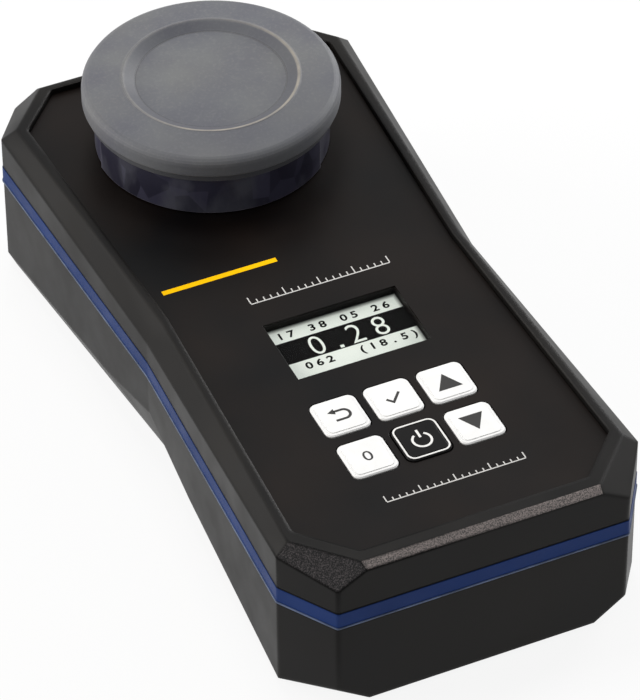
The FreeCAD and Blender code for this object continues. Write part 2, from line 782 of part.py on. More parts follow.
def cuvette():
    r = CUVETTE_R
    w = CUVETTE_WALL
    z0 = CUVETTE_Z
    zs = CUVETTE_SHOULDER
    pts = [
        (0, z0), (r - 0.8, z0), (r, z0 + 0.8), (r, zs), (NECK_R, zs + 1.3), (NECK_R, NECK_TOP),
        (NECK_R - w, NECK_TOP), (NECK_R - w, zs + 0.4), (r - w, zs - 1.0), (r - w, z0 + 2.2), (0, z0 + 1.8),
    ]
    return turned(pts, 0, CAP_Y)


def cuvette_lid():
    r = LID_R
    bore = NECK_R + SLIDE_GAP
    roof = NECK_TOP + SLIDE_GAP
    body = turned([(bore, LID_Z), (r, LID_Z), (r, LID_TOP - 1.0), (r - 1.0, LID_TOP), (0, LID_TOP),
                   (0, roof), (bore, roof)], 0, CAP_Y)
    for i in range(GRIPS):
        a = math.radians(360.0 / GRIPS * i)
        c = V(r * math.cos(a), CAP_Y + r * math.sin(a), LID_Z + 0.8)
        notch = Part.makeBox(0.5, 0.5, LID_TOP - LID_Z - 2.0, V(-0.25, -0.25, 0))
        notch.Placement = FreeCAD.Placement(c, FreeCAD.Rotation(V(0, 0, 1), 45 + math.degrees(a)))
        body = body.cut(notch)
    return body


def cap_disc():
    # Disc that falls slightly outward, with a lipped dish on top and a stepped lip below
    r = CAP_R
    lip_r = SKIRT_R + 1.7
    lip_z = CAP_EDGE_Z - CAP_LIP
    rim_z = CAP_TOP - CAP_SLOPE
    pts = [
        (0, CAP_CEIL), (SKIRT_R, CAP_CEIL), (SKIRT_R, lip_z), (lip_r - 0.4, lip_z),
        (lip_r, lip_z + 0.3), (lip_r, CAP_EDGE_Z - 0.35), (lip_r - 0.5, CAP_EDGE_Z),
        (r - 0.3, CAP_EDGE_Z), (r, CAP_EDGE_Z + 0.3), (r, rim_z - CAP_ROUND),
        (r - 0.12, rim_z - 1.2), (r - 0.45, rim_z - 0.65), (r - 0.95, rim_z - 0.25), (r - 1.5, rim_z),
        (DISH_R + DISH_LIP_W, CAP_TOP - DISH_LIP_H), (DISH_R + DISH_LIP_W - 0.25, CAP_TOP),
        (DISH_R + 0.1, CAP_TOP), (DISH_R - 0.15, CAP_TOP - 0.15),
        (DISH_FLOOR_R, CAP_TOP - DISH_DEPTH), (0, CAP_TOP - DISH_DEPTH),
    ]
    return turned(pts, 0, CAP_Y)


def sector(r, z0, z1, a0, a1):
    s = Part.makeCylinder(r, z1 - z0, V(0, CAP_Y, z0), V(0, 0, 1), a1 - a0)
    s.rotate(V(0, CAP_Y, 0), V(0, 0, 1), a0)
    return s


def cap_skirt():
    body = tube(SKIRT_R, SKIRT_BORE, SKIRT_Z, CAP_CEIL, 0, CAP_Y)
    top = CAP_EDGE_Z - CAP_LIP
    wide = sector(SKIRT_R + SKIRT_STEP, SKIRT_Z, top, 180, 310).cut(cyl(SKIRT_R - 0.4, 0, 90, 0, CAP_Y))
    body = body.fuse(wide)
    for a in (62.0, 100.0):
        rib = sector(SKIRT_R + SKIRT_STEP, SKIRT_Z + 1.5, top, a, a + 3.0)
        body = body.fuse(rib.cut(cyl(SKIRT_R - 0.4, 0, 90, 0, CAP_Y)))
    return body.removeSplitter()


def cap_liner():
    z0 = CAP_CEIL - LINER_T
    body = tube(SKIRT_BORE, 14.5, z0, CAP_CEIL, 0, CAP_Y)
    return body


def led_board(side):
    x0 = side * BLOCK_HALF
    x1 = side * (BLOCK_HALF + 1.2)
    half = LED_BOARD_W / 2
    z0, z1 = LED_BOARD_Z
    board = box(min(x0, x1), max(x0, x1), CAP_Y - half, CAP_Y + half, z0, z1)
    for dy in (2.5 - half, half - 2.5):
        start = V(side * (BLOCK_HALF - 1), CAP_Y + dy, BEAM_Z[0] + 4.0)
        board = board.cut(Part.makeCylinder(1.0, 6, start, V(side, 0, 0)))
    return board


def emitter(z, side, dome):
    x = side * BLOCK_HALF
    body = Part.makeCylinder(LED_R, 5.6 - dome, V(x, CAP_Y, z), V(-side, 0, 0))
    if dome > 0:
        tip = Part.makeCone(LED_R, LED_R * 0.5, dome, V(x - side * (5.6 - dome), CAP_Y, z), V(-side, 0, 0))
        body = body.fuse(tip)
    return body.removeSplitter()


# Battery bay

def cell_x(i):
    return (i - 1) * CELL_PITCH


def battery(i):
    flip_it = (i % 2 == 1)
    y = BAY_Y
    l = CELL_L
    s = -1 if flip_it else 1
    pts = [(0, 0), (CELL_R - 0.5, 0), (CELL_R, 0.5), (CELL_R, l - 0.5), (CELL_R - 0.5, l), (2.1, l),
           (1.9, l + CELL_TIP), (0, l + CELL_TIP)]
    body = turned(pts)
    body.rotate(V(0, 0, 0), V(1, 0, 0), -90 if s > 0 else 90)
    body.translate(V(cell_x(i), y - s * l / 2, CELL_Z))
    return body


def battery_tray():
    w = BAY_W
    x = w / 2 - TRAY_GAP
    y0 = BAY_Y - BAY_L / 2 + TRAY_GAP
    y1 = BAY_Y + BAY_L / 2 - TRAY_GAP
    z0 = LEDGE_Z + 0.4
    body = round_box(2 * x, y1 - y0, z0, TRAY_TOP, 1.2, 0, BAY_Y)
    body = body.cut(box(-x + 1.2, x - 1.2, y0 + TRAY_END, y1 - TRAY_END, z0 - 1, TRAY_TOP - 1.4))
    for sx in (-0.5, 0.5):
        xx = 2 * sx * CELL_PITCH / 2
        body = body.fuse(box(xx - 0.35, xx + 0.35, y0 + 5.0, y1 - 5.0, CELL_Z + 3.0, TRAY_TOP - 0.5))
    for sx in (-1, 0, 1):
        xc = cell_x(sx + 1)
        body = body.cut(box(xc - 3.0, xc + 3.0, BAY_Y - 12, BAY_Y + 12, TRAY_TOP - 2, TRAY_TOP + 1))
    for sx in (-1, 1):
        xa = sx * x
        xb = sx * (x + 4.0)
        for yy in (y0 + 8.0, y1 - 8.0):
            z1 = LEDGE_Z + LEDGE_T
            body = body.fuse(box(min(xa, xb), max(xa, xb), yy - 3, yy + 3, z1, z1 + 2.0))
    return body.removeSplitter()


def cell_end(i, side):
    # Place of a cell's end along Y at the tray's front (-1) or back (1) wall
    turned_round = (i % 2 == 1)
    tip = CELL_TIP if (side > 0) != turned_round else 0.0
    return BAY_Y + side * (CELL_L / 2 + tip)


def leaf(i, side):
    # Bent strip from the tray's wall to the end of one cell
    wall = BAY_Y + side * (BAY_L / 2 - TRAY_GAP - TRAY_END)
    root = wall - side * LEAF_T
    tip = cell_end(i, side) + side * 0.05
    path = [(root, -4.2), (root, -3.2), (tip, -1.0), (tip, 1.0), (root, 3.2), (root, 4.2)]
    back = [(y + side * LEAF_T, z) for y, z in reversed(path)]
    pts = [V(0, y, CELL_Z + z) for y, z in path + back]
    strip = Part.Face(Part.makePolygon(pts + [pts[0]])).extrude(V(5.0, 0, 0))
    strip.translate(V(cell_x(i) - 2.5, 0, 0))
    return strip


def contact_set(side, linked):
    wall = BAY_Y + side * (BAY_L / 2 - TRAY_GAP - TRAY_END)
    root = wall - side * LEAF_T
    x0 = cell_x(linked) + 2.4
    x1 = cell_x(linked + 1) - 2.4
    link = box(x0, x1, min(wall, root), max(wall, root), CELL_Z + 3.2, CELL_Z + 4.2)
    pair = fuse_all([leaf(linked, side), link, leaf(linked + 1, side)])
    single = leaf(2 if linked == 0 else 0, side)
    return Part.makeCompound([pair, single])


def battery_door():
    body = round_box(DOOR_W, DOOR_L, BASE_Z, BASE_Z + DOOR_T, 4.0, 0, BAY_Y)
    for i in range(7):
        y0 = BAY_Y - 9.6 + i * 3.2
        body = body.cut(box(-9.0, 9.0, y0 - 0.5, y0 + 0.5, BASE_Z - 1, BASE_Z + 0.5))
    for dx in (-CELL_PITCH / 2, CELL_PITCH / 2):
        z1 = CELL_Z - CELL_R + 0.5
        body = body.fuse(box(dx - 0.6, dx + 0.6, BAY_Y - 18, BAY_Y + 18, BASE_Z + DOOR_T - 0.2, z1))
    body = body.removeSplitter()
    for x, y in door_screw_xy():
        body = body.cut(cyl(2.2, 0, BASE_Z + 1.1, x, y))
        body = body.cut(cyl(DOOR_SCREW_R, 0, 9, x, y))
    return body


def door_gasket():
    z0 = BASE_Z + DOOR_T
    outer = round_box(DOOR_W - 1.0, DOOR_L - 0.8, z0, z0 + GASKET_T, 3.4, 0, BAY_Y)
    inner = round_box(DOOR_W - 4.4, DOOR_L - 2.4, z0 - 1, z0 + 2, 2.6, 0, BAY_Y)
    ring = outer.cut(inner)
    for x, y in door_screw_xy():
        ring = ring.cut(cyl(DOOR_SCREW_R + SLIDE_GAP, z0 - 1, z0 + 2, x, y))
    return ring


def foot(x, y):
    top = BASE_Z + FOOT_DEPTH
    return turned([(0, 0), (FOOT_R - 0.4, 0), (FOOT_R, 0.4), (FOOT_R, top), (0, top)], x, y)


def build():
    nodes = {}
    nodes["lower_shell"] = lower_shell()
    nodes["band_bead"] = band_bead()
    nodes["sealing_band"] = sealing_band()
    nodes["upper_shell"] = upper_shell()
    nodes["panel_overlay"] = panel_overlay()
    nodes["display_window"] = display_window()
    nodes["lcd_glass"] = lcd_glass()
    nodes["lcd_backlight"] = lcd_backlight()
    nodes["lcd_frame"] = lcd_frame()
    nodes["lcd_flex"] = lcd_flex()
    for x, y, name in key_places():
        nodes[name] = key_shape(x, y)
    nodes["keypad_mat"] = keypad_mat()
    nodes["main_board"] = main_board()
    nodes["controller_chip"] = chip_under(12.0, 12.0, 1.6, 0.0, -10.0, PCB_Z, 1.0)
    nodes["radio_module"] = radio_module()
    nodes["buzzer"] = buzzer()
    nodes["board_connector"] = board_connector()
    nodes["board_screws"] = board_screws()
    nodes["optical_block"] = optical_block()
    nodes["chamber_collar"] = chamber_collar()
    nodes["collar_seal"] = collar_seal()
    nodes["cuvette_seal"] = cuvette_seal()
    nodes["led_board"] = led_board(-1)
    nodes["sensor_board"] = led_board(1)
    nodes["led_low"] = emitter(BEAM_Z[0], -1, LED_DOME)
    nodes["led_high"] = emitter(BEAM_Z[1], -1, LED_DOME)
    nodes["sensor_low"] = emitter(BEAM_Z[0], 1, 0.0)
    nodes["sensor_high"] = emitter(BEAM_Z[1], 1, 0.0)
    nodes["cuvette"] = cuvette()
    nodes["cuvette_lid"] = cuvette_lid()
    nodes["cap_disc"] = cap_disc()
    nodes["cap_skirt"] = cap_skirt()
    nodes["cap_liner"] = cap_liner()
    nodes["battery_tray"] = battery_tray()
    for i in range(3):
        nodes["battery_%d" % (i + 1)] = battery(i)
    nodes["contacts_front"] = contact_set(-1, 0)
    nodes["contacts_back"] = contact_set(1, 1)
    nodes["battery_door"] = battery_door()
    nodes["door_gasket"] = door_gasket()
    nodes["door_screws"] = door_screws()
    nodes["housing_screws"] = housing_screws()
    nodes["feet"] = group([foot(x, y) for x, y in FEET_XY])
    return nodes


def main():
    for node_name, node_shape in build().items():
        node_shape.exportStep("parts/%s.step" % node_name)


if __name__ == "__main__":
    main()
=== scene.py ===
import json
import math
from collections import namedtuple
import bmesh
import bpy
from mathutils import Matrix, Vector


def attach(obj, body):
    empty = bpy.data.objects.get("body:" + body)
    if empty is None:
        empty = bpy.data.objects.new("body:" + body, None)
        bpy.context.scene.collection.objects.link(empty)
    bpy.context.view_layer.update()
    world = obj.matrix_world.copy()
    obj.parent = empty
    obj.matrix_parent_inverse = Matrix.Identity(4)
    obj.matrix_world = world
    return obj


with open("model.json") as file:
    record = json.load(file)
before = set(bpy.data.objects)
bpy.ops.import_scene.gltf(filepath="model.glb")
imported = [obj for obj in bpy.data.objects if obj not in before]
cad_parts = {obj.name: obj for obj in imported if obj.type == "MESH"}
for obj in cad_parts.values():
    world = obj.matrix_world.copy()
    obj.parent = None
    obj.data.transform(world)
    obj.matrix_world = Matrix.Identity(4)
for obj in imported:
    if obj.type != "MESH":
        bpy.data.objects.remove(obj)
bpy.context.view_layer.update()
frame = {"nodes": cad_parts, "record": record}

MM = 0.001

# Places and sizes of the solids that the looks follow, in millimetres
PANEL_Z = 37.6
KEY_TOP = 38.05
KEY_PITCH = 12.03
BACK_ROW_Y = -40.1
FRONT_ROW_Y = -53.5
LCD_Z = 35.6
LCD_BACK = -8.2
LCD_SIDE = 15.2
CAP_Y = 53.0
CAP_LIP_Z = 49.4
DISH_R = 18.9
DISH_WALL_R = 17.65
DISH_FLOOR_R = 16.4

# Directions that the etched surfaces of the upper shell face
STRIP_FACING = (0.0, -0.41, 0.91)
FACET_FACING = (-0.46, -0.36, 0.81)

# Where masks of the materials fade, in metres along X, Y or Z
LEFT_FADE = (-0.012, 0.016)
FRONT_FADE = (-0.072, -0.064)
UPPER_FADE = (0.026, 0.028)
# The next two fade the cap's painted front shade and the painted highlight on its dish's lip
CAP_FRONT_SHADE_FADE = (-0.027, 0.004)
LIP_LIGHT_FADE = (-0.012, 0.012)
CAP_LIP_FADE = (CAP_LIP_Z * MM - 0.0002, CAP_LIP_Z * MM + 0.0006)
LCD_BACK_FADE = ((LCD_BACK - 1.3) * MM, (LCD_BACK - 0.1) * MM)
LCD_SIDE_FADE = ((LCD_SIDE - 1.1) * MM, (LCD_SIDE - 0.1) * MM)

# Prints in millimetres: thicknesses, then rectangles by left, front, right and back
PRINT_T = 0.02
SYMBOL_T = 0.03
LCD_BAND = (-15.1, -19.55, 15.1, -12.85)
LCD_POINT = (-2.2, -19.25, -1.35, -18.45)
PANEL_BAR = (-30.2, 9.2, -4.0, 10.5)

# Modifiers of the solids, in metres and degrees
WELD_GAP = 0.00001
FLAT_ANGLE = 1.0
ROUND_WIDTH = 0.0006
ROUND_ANGLE = 9.0
ROUND_STEPS = 2

# Figures: their height as a share of the font's size, and the steps of their curves
FIGURE_SHARE = 0.72
FIGURE_STEPS = 4
SAME_POINT = 0.000002

# Camera, fitted to the photograph in degrees, metres and pixels of the 640 by 700 frame
CAMERA_AZIMUTH = -23.977
CAMERA_ELEVATION = 42.218
CAMERA_ROLL = -0.504
CAMERA_TARGET = (-0.003576, -0.0049, 0.02174)
CAMERA_DISTANCE = 1.058
CAMERA_FOCAL = 4997.46
CAMERA_SHIFT = (12.6, 6.93)
CAMERA_CLIP = (0.01, 20.0)
FRAME_HEIGHT = 700.0
SENSOR_WIDTH = 36.0

# Studio
WHITE = (1.0, 1.0, 1.0, 1.0)
WORLD_LIGHT = 0.38
FLOOR_HALF = 4
FLOOR_Z = -0.00005
FLOOR_COLOUR = (0.88, 0.88, 0.88, 1.0)
FLOOR_WHITE = 0.89

# A flat print: foot height and thickness in millimetres, body it rides on, material, record slot
Layer = namedtuple("Layer", "z thickness body material slot")


# Colours

def linear(value):
    # Linear light of an sRGB value from 0 to 255
    value = value / 255.0
    if value <= 0.04045:
        return value / 12.92
    return ((value + 0.055) / 1.055) ** 2.4


def rgb(r, g, b):
    return (linear(r), linear(g), linear(b), 1.0)


def scaled(colour, factor):
    return tuple(min(1.0, c * factor) for c in colour[:3]) + (1.0,)


# Node helpers

def add(nodes, kind, **values):
    node = nodes.new(kind)
    for key, value in values.items():
        setattr(node, key, value)
    return node


def object_place(mat, stretch=(1.0, 1.0, 1.0), turn=(0.0, 0.0, 0.0), shift=(0.0, 0.0, 0.0)):
    # The object's own coordinates, stretched, turned and shifted
    place = add(mat.node_tree.nodes, "ShaderNodeTexCoord")
    mapping = add(mat.node_tree.nodes, "ShaderNodeMapping")
    mapping.inputs["Scale"].default_value = stretch
    mapping.inputs["Rotation"].default_value = turn
    mapping.inputs["Location"].default_value = shift
    mat.node_tree.links.new(place.outputs["Object"], mapping.inputs["Vector"])
    return mapping.outputs["Vector"]


def split_place(mat, shift=(0.0, 0.0, 0.0)):
    # X, Y and Z of the object's own coordinates, in metres
    split = add(mat.node_tree.nodes, "ShaderNodeSeparateXYZ")
    mat.node_tree.links.new(object_place(mat, shift=shift), split.inputs["Vector"])
    return split.outputs["X"], split.outputs["Y"], split.outputs["Z"]


def noise(mat, scale, detail=3.0, stretch=(1.0, 1.0, 1.0)):
    tex = add(mat.node_tree.nodes, "ShaderNodeTexNoise")
    tex.inputs["Scale"].default_value = scale
    tex.inputs["Detail"].default_value = detail
    mat.node_tree.links.new(object_place(mat, stretch), tex.inputs["Vector"])
    return tex.outputs["Fac"]


def patches(mat, scale, stretch, turn):
    # Angular patches, each of one random tone
    cells = add(mat.node_tree.nodes, "ShaderNodeTexVoronoi")
    cells.inputs["Scale"].default_value = scale
    split = add(mat.node_tree.nodes, "ShaderNodeSeparateColor")
    mat.node_tree.links.new(object_place(mat, stretch, turn), cells.inputs["Vector"])
    mat.node_tree.links.new(cells.outputs["Color"], split.inputs["Color"])
    return split.outputs["Red"]


def spread(mat, source, low=0.0, high=1.0, from_low=0.3, from_high=0.7):
    # Maps from_low..from_high to low..high, and holds the ends
    node = add(mat.node_tree.nodes, "ShaderNodeMapRange")
    node.inputs["From Min"].default_value = from_low
    node.inputs["From Max"].default_value = from_high
    node.inputs["To Min"].default_value = low
    node.inputs["To Max"].default_value = high
    mat.node_tree.links.new(source, node.inputs["Value"])
    return node.outputs["Result"]


def math_node(mat, operation, a, b=0.0):
    node = add(mat.node_tree.nodes, "ShaderNodeMath", operation=operation)
    for socket, value in zip(node.inputs, (a, b)):
        if isinstance(value, float):
            socket.default_value = value
        else:
            mat.node_tree.links.new(value, socket)
    return node.outputs["Value"]


def times(mat, a, b):
    return math_node(mat, "MULTIPLY", a, b)


def blend_colours(mat, factor, a, b):
    node = add(mat.node_tree.nodes, "ShaderNodeMix", data_type="RGBA")
    links = mat.node_tree.links
    links.new(factor, node.inputs["Factor"])
    for name, value in (("A", a), ("B", b)):
        socket = [s for s in node.inputs if s.name == name and s.type == "RGBA"][0]
        if isinstance(value, tuple):
            socket.default_value = value
        else:
            links.new(value, socket)
    return [s for s in node.outputs if s.type == "RGBA"][0]


def bump(mat, height, distance, strength, normal=None):
    node = add(mat.node_tree.nodes, "ShaderNodeBump")
    node.inputs["Strength"].default_value = strength
    node.inputs["Distance"].default_value = distance
    mat.node_tree.links.new(height, node.inputs["Height"])
    if normal is not None:
        mat.node_tree.links.new(normal, node.inputs["Normal"])
    return node.outputs["Normal"]


def rounded_normal(mat, radius):
    node = add(mat.node_tree.nodes, "ShaderNodeBevel", samples=6)
    node.inputs["Radius"].default_value = radius
    return node.outputs["Normal"]


def edge_mask(mat, radius, gain):
    # High where the surface turns over an edge
    nodes = mat.node_tree.nodes
    links = mat.node_tree.links
    soft = rounded_normal(mat, radius)
    plain = add(nodes, "ShaderNodeNewGeometry").outputs["Normal"]
    dot = add(nodes, "ShaderNodeVectorMath", operation="DOT_PRODUCT")
    links.new(soft, dot.inputs[0])
    links.new(plain, dot.inputs[1])
    turned = math_node(mat, "SUBTRACT", 1.0, dot.outputs["Value"])
    clamp = add(nodes, "ShaderNodeClamp")
    links.new(times(mat, turned, gain), clamp.inputs["Value"])
    return clamp.outputs["Result"]


def facing(mat, direction, limit):
    # 1 where the surface faces a fixed direction of the object
    place = add(mat.node_tree.nodes, "ShaderNodeTexCoord")
    dot = add(mat.node_tree.nodes, "ShaderNodeVectorMath", operation="DOT_PRODUCT")
    dot.inputs[1].default_value = Vector(direction).normalized()
    mat.node_tree.links.new(place.outputs["Normal"], dot.inputs[0])
    return math_node(mat, "GREATER_THAN", dot.outputs["Value"], limit)


def ring_mask(mat, distance, radius, half):
    # High on a ring of the given radius and half width, in millimetres
    away = math_node(mat, "ABSOLUTE", math_node(mat, "SUBTRACT", distance, radius * MM))
    return spread(mat, away, 1.0, 0.0, half * MM * 0.5, half * MM)


# Materials

def start_material(name):
    mat = bpy.data.materials.new(name)
    mat.use_nodes = True
    return mat, mat.node_tree.nodes["Principled BSDF"]


def finish_shader(mat, shader, colour, rough, normal, ior=1.5):
    links = mat.node_tree.links
    links.new(colour, shader.inputs["Base Color"])
    links.new(rough, shader.inputs["Roughness"])
    links.new(normal, shader.inputs["Normal"])
    shader.inputs["IOR"].default_value = ior
    return mat


def glow_from(mat, shader, colour, strength):
    mat.node_tree.links.new(colour, shader.inputs["Emission Color"])
    shader.inputs["Emission Strength"].default_value = strength


def moulded(name, colour, rough=0.45, grain=2200.0, depth=0.00001, blotch=0.12,
            blotch_scale=70.0, wear_and_highlight=0.35, ior=1.45, metallic=0.0, stretch=(1.0, 1.0, 1.0)):
    # Moulded or coated surface: mottled colour, fine grain, paler worn edges
    edge, paler, swing = 0.0003, 2.2, 0.06
    mat, shader = start_material(name)
    tone = spread(mat, noise(mat, blotch_scale, 4.0, stretch))
    base = blend_colours(mat, tone, scaled(colour, 1.0 - blotch), scaled(colour, 1.0 + blotch))
    edge_wear_and_highlight = times(mat, edge_mask(mat, edge, gain=3.0), wear_and_highlight)
    base = blend_colours(mat, edge_wear_and_highlight, base, scaled(colour, paler))
    uneven = noise(mat, blotch_scale * 2.3, 3.0, stretch)
    uneven = spread(mat, uneven, rough - swing, rough + swing)
    fine = noise(mat, grain, 2.0, stretch)
    normal = bump(mat, fine, depth, strength=0.5, normal=rounded_normal(mat, edge))
    shader.inputs["Metallic"].default_value = metallic
    return finish_shader(mat, shader, base, uneven, normal, ior)


def front_shares(mat):
    # 1 at the front end of the upper shell, 0 elsewhere; then the same for its left part only
    x, y, z = split_place(mat)
    ahead = spread(mat, y, 1.0, 0.0, *FRONT_FADE)
    high = spread(mat, z, 0.0, 1.0, *UPPER_FADE)
    front = times(mat, ahead, high)
    left = spread(mat, x, 1.0, 0.0, *LEFT_FADE)
    return front, times(mat, front, left)


def housing_material():
    # Smooth satin walls, with an etched grain on the front bevel and the left front corner facet
    mat, shader = start_material("housing_black")
    strip = facing(mat, STRIP_FACING, limit=0.992)
    facet = facing(mat, FACET_FACING, limit=0.985)
    etched = math_node(mat, "MAXIMUM", strip, facet)
    front, left_front = front_shares(mat)
    # Walls, their edges a little paler, for wear and as a painted edge highlight, but not at the
    # front
    wear_and_highlight = 0.25
    tone = spread(mat, noise(mat, 45.0, detail=4.0))
    base = blend_colours(mat, tone, rgb(11, 10, 10), rgb(21, 19, 17))
    kept = math_node(mat, "SUBTRACT", wear_and_highlight, times(mat, front, wear_and_highlight))
    edge_wear_and_highlight = times(mat, edge_mask(mat, 0.0006, gain=3.0), kept)
    base = blend_colours(mat, edge_wear_and_highlight, base, rgb(92, 88, 84))
    # Etched surfaces, with a painted shade line round the facet
    flecks = spread(mat, noise(mat, 4000.0, detail=4.0), from_low=0.46, from_high=0.64)
    facet_colour = blend_colours(mat, flecks, rgb(8, 8, 9), rgb(70, 66, 67))
    base = blend_colours(mat, facet, base, facet_colour)
    # Painted highlight: the front strip's grain is painted paler than the same grain on the facet
    specks = spread(mat, noise(mat, 4200.0, detail=4.0), from_low=0.4, from_high=0.62)
    strip_lit_colour = blend_colours(mat, specks, rgb(36, 33, 32), rgb(128, 118, 115))
    base = blend_colours(mat, strip, base, strip_lit_colour)
    # Painted shade: a near-black line along the edges at the left front, standing for a groove
    groove_shade = times(mat, edge_mask(mat, 0.0009, gain=60.0), left_front)
    base = blend_colours(mat, groove_shade, base, rgb(1, 1, 1))
    rough = spread(mat, noise(mat, 90.0), 0.36, 0.46)
    rough = math_node(mat, "MAXIMUM", rough, times(mat, etched, 0.5))
    rough = math_node(mat, "MAXIMUM", rough, times(mat, groove_shade, 0.95))
    satin = bump(mat, noise(mat, 3800.0, detail=2.0), distance=0.000004, strength=0.6,
                 normal=rounded_normal(mat, 0.0012))
    deep = times(mat, noise(mat, 2600.0, detail=2.0), etched)
    normal = bump(mat, deep, distance=0.0001, strength=0.9, normal=satin)
    # Clear gloss over the etched surfaces alone
    gloss = math_node(mat, "ADD", times(mat, strip, 0.7), times(mat, facet, 0.12))
    gloss = times(mat, gloss, math_node(mat, "SUBTRACT", 1.0, groove_shade))
    mat.node_tree.links.new(gloss, shader.inputs["Coat Weight"])
    shader.inputs["Coat Roughness"].default_value = 0.3
    shader.inputs["Coat IOR"].default_value = 1.5
    return finish_shader(mat, shader, base, rough, normal, ior=1.22)


def panel_material():
    # Printed film over the deck: near black, satin, with faint brown smudges
    mat, shader = start_material("panel_black")
    smudge = spread(mat, noise(mat, 28.0))
    base = blend_colours(mat, smudge, rgb(2, 2, 3), rgb(21, 14, 10))
    rough = spread(mat, noise(mat, 35.0), 0.35, 0.45)
    normal = bump(mat, noise(mat, 5200.0, detail=2.0), distance=0.0000022, strength=0.5,
                  normal=rounded_normal(mat, 0.0002))
    return finish_shader(mat, shader, base, rough, normal, ior=1.205)


def cap_place(mat):
    # Distance from the cap's middle line, then the place across, to the back and up, in metres
    across, back, height = split_place(mat, shift=(0.0, -CAP_Y * MM, 0.0))
    flat = add(mat.node_tree.nodes, "ShaderNodeCombineXYZ")
    size = add(mat.node_tree.nodes, "ShaderNodeVectorMath", operation="LENGTH")
    mat.node_tree.links.new(across, flat.inputs["X"])
    mat.node_tree.links.new(back, flat.inputs["Y"])
    mat.node_tree.links.new(flat.outputs["Vector"], size.inputs[0])
    return size.outputs["Value"], across, back, height


def cap_material():
    # Rubbery grey cap, softly mottled, with paler edges for wear and as a painted edge highlight;
    # painted shade towards its front, on the dish's wall, in the dish's corner and below the lip,
    # and a painted highlight on the dish's lip
    mat, shader = start_material("cap_grey")
    distance, across, back, height = cap_place(mat)
    tone = spread(mat, noise(mat, 75.0, detail=5.0))
    base = blend_colours(mat, tone, rgb(87, 88, 96), rgb(104, 106, 108))
    warm = noise(mat, 40.0, detail=4.0)
    warm = spread(mat, warm, 0.0, 0.25, from_low=0.42, from_high=0.68)
    base = blend_colours(mat, warm, base, rgb(110, 108, 102))
    dust = noise(mat, 1500.0, detail=4.0)
    dust = spread(mat, dust, 0.0, 0.3, from_low=0.5, from_high=0.75)
    base = blend_colours(mat, dust, base, rgb(126, 126, 126))
    # Painted shade: the cap darker towards its front
    front_shade = spread(mat, back, 0.45, 0.0, *CAP_FRONT_SHADE_FADE)
    base = blend_colours(mat, front_shade, base, rgb(74, 75, 80))
    # Painted shade: the dish's wall darker
    dish_wall_shade = times(mat, ring_mask(mat, distance, DISH_WALL_R, half=1.45), 0.5)
    base = blend_colours(mat, dish_wall_shade, base, rgb(72, 73, 80))
    # Painted shade: a darker line in the dish's corner
    corner = times(mat, ring_mask(mat, distance, DISH_FLOOR_R, half=0.3), 0.5)
    base = blend_colours(mat, corner, base, rgb(60, 60, 66))
    # Painted highlight on the lip of the dish, stronger towards the front right and broken up
    lean = math_node(mat, "SUBTRACT", times(mat, across, 0.5), back)
    lit_side = spread(mat, lean, 0.1, 1.0, *LIP_LIGHT_FADE)
    broken = times(mat, lit_side, spread(mat, noise(mat, 260.0), 0.45, 1.0))
    lip_highlight = times(mat, ring_mask(mat, distance, DISH_R + 0.1, half=0.42), broken)
    base = blend_colours(mat, lip_highlight, base, rgb(152, 146, 136))
    # Paler edges, for wear and as a painted edge highlight
    edge_wear_and_highlight = times(mat, edge_mask(mat, 0.0003, gain=5.0), 0.8)
    base = blend_colours(mat, edge_wear_and_highlight, base, rgb(176, 170, 162))
    # Painted shade: the cap darker below the lip
    shade_below_lip = spread(mat, height, 0.55, 0.0, *CAP_LIP_FADE)
    base = blend_colours(mat, shade_below_lip, base, rgb(34, 34, 39))
    rough = spread(mat, noise(mat, 120.0), 0.48, 0.6)
    normal = bump(mat, noise(mat, 1300.0, detail=4.0), distance=0.000012, strength=0.5,
                  normal=rounded_normal(mat, 0.00025))
    return finish_shader(mat, shader, base, rough, normal, ior=1.38)


def skirt_material():
    # Smoky purple-grey sleeve with angular flow marks from moulding
    mat, shader = start_material("skirt_smoke")
    marks = patches(mat, 170.0, stretch=(1.0, 1.0, 0.8), turn=(0.5, 0.4, 0.0))
    tone = spread(mat, marks, from_low=0.0, from_high=1.0)
    base = blend_colours(mat, tone, rgb(24, 23, 36), rgb(60, 59, 76))
    cloud = noise(mat, 120.0, detail=4.0, stretch=(1.0, 1.0, 0.5))
    cloud = spread(mat, cloud, 0.0, 0.7, from_low=0.5, from_high=0.68)
    base = blend_colours(mat, cloud, base, rgb(82, 83, 92))
    edge_wear_and_highlight = times(mat, edge_mask(mat, 0.0004, gain=5.0), 0.8)
    base = blend_colours(mat, edge_wear_and_highlight, base, rgb(132, 130, 142))
    rough = spread(mat, noise(mat, 140.0), 0.3, 0.46)
    normal = bump(mat, cloud, distance=0.00008, strength=0.5, normal=rounded_normal(mat, 0.0003))
    return finish_shader(mat, shader, base, rough, normal, ior=1.4)


def key_material():
    # White embossed keys, faintly mottled
    mat, shader = start_material("key_white")
    tone = spread(mat, noise(mat, 220.0))
    base = blend_colours(mat, tone, rgb(234, 234, 233), rgb(243, 243, 242))
    rough = spread(mat, noise(mat, 500.0, detail=2.0), 0.38, 0.48)
    normal = bump(mat, noise(mat, 2500.0, detail=2.0), distance=0.000004, strength=0.5)
    return finish_shader(mat, shader, base, rough, normal)


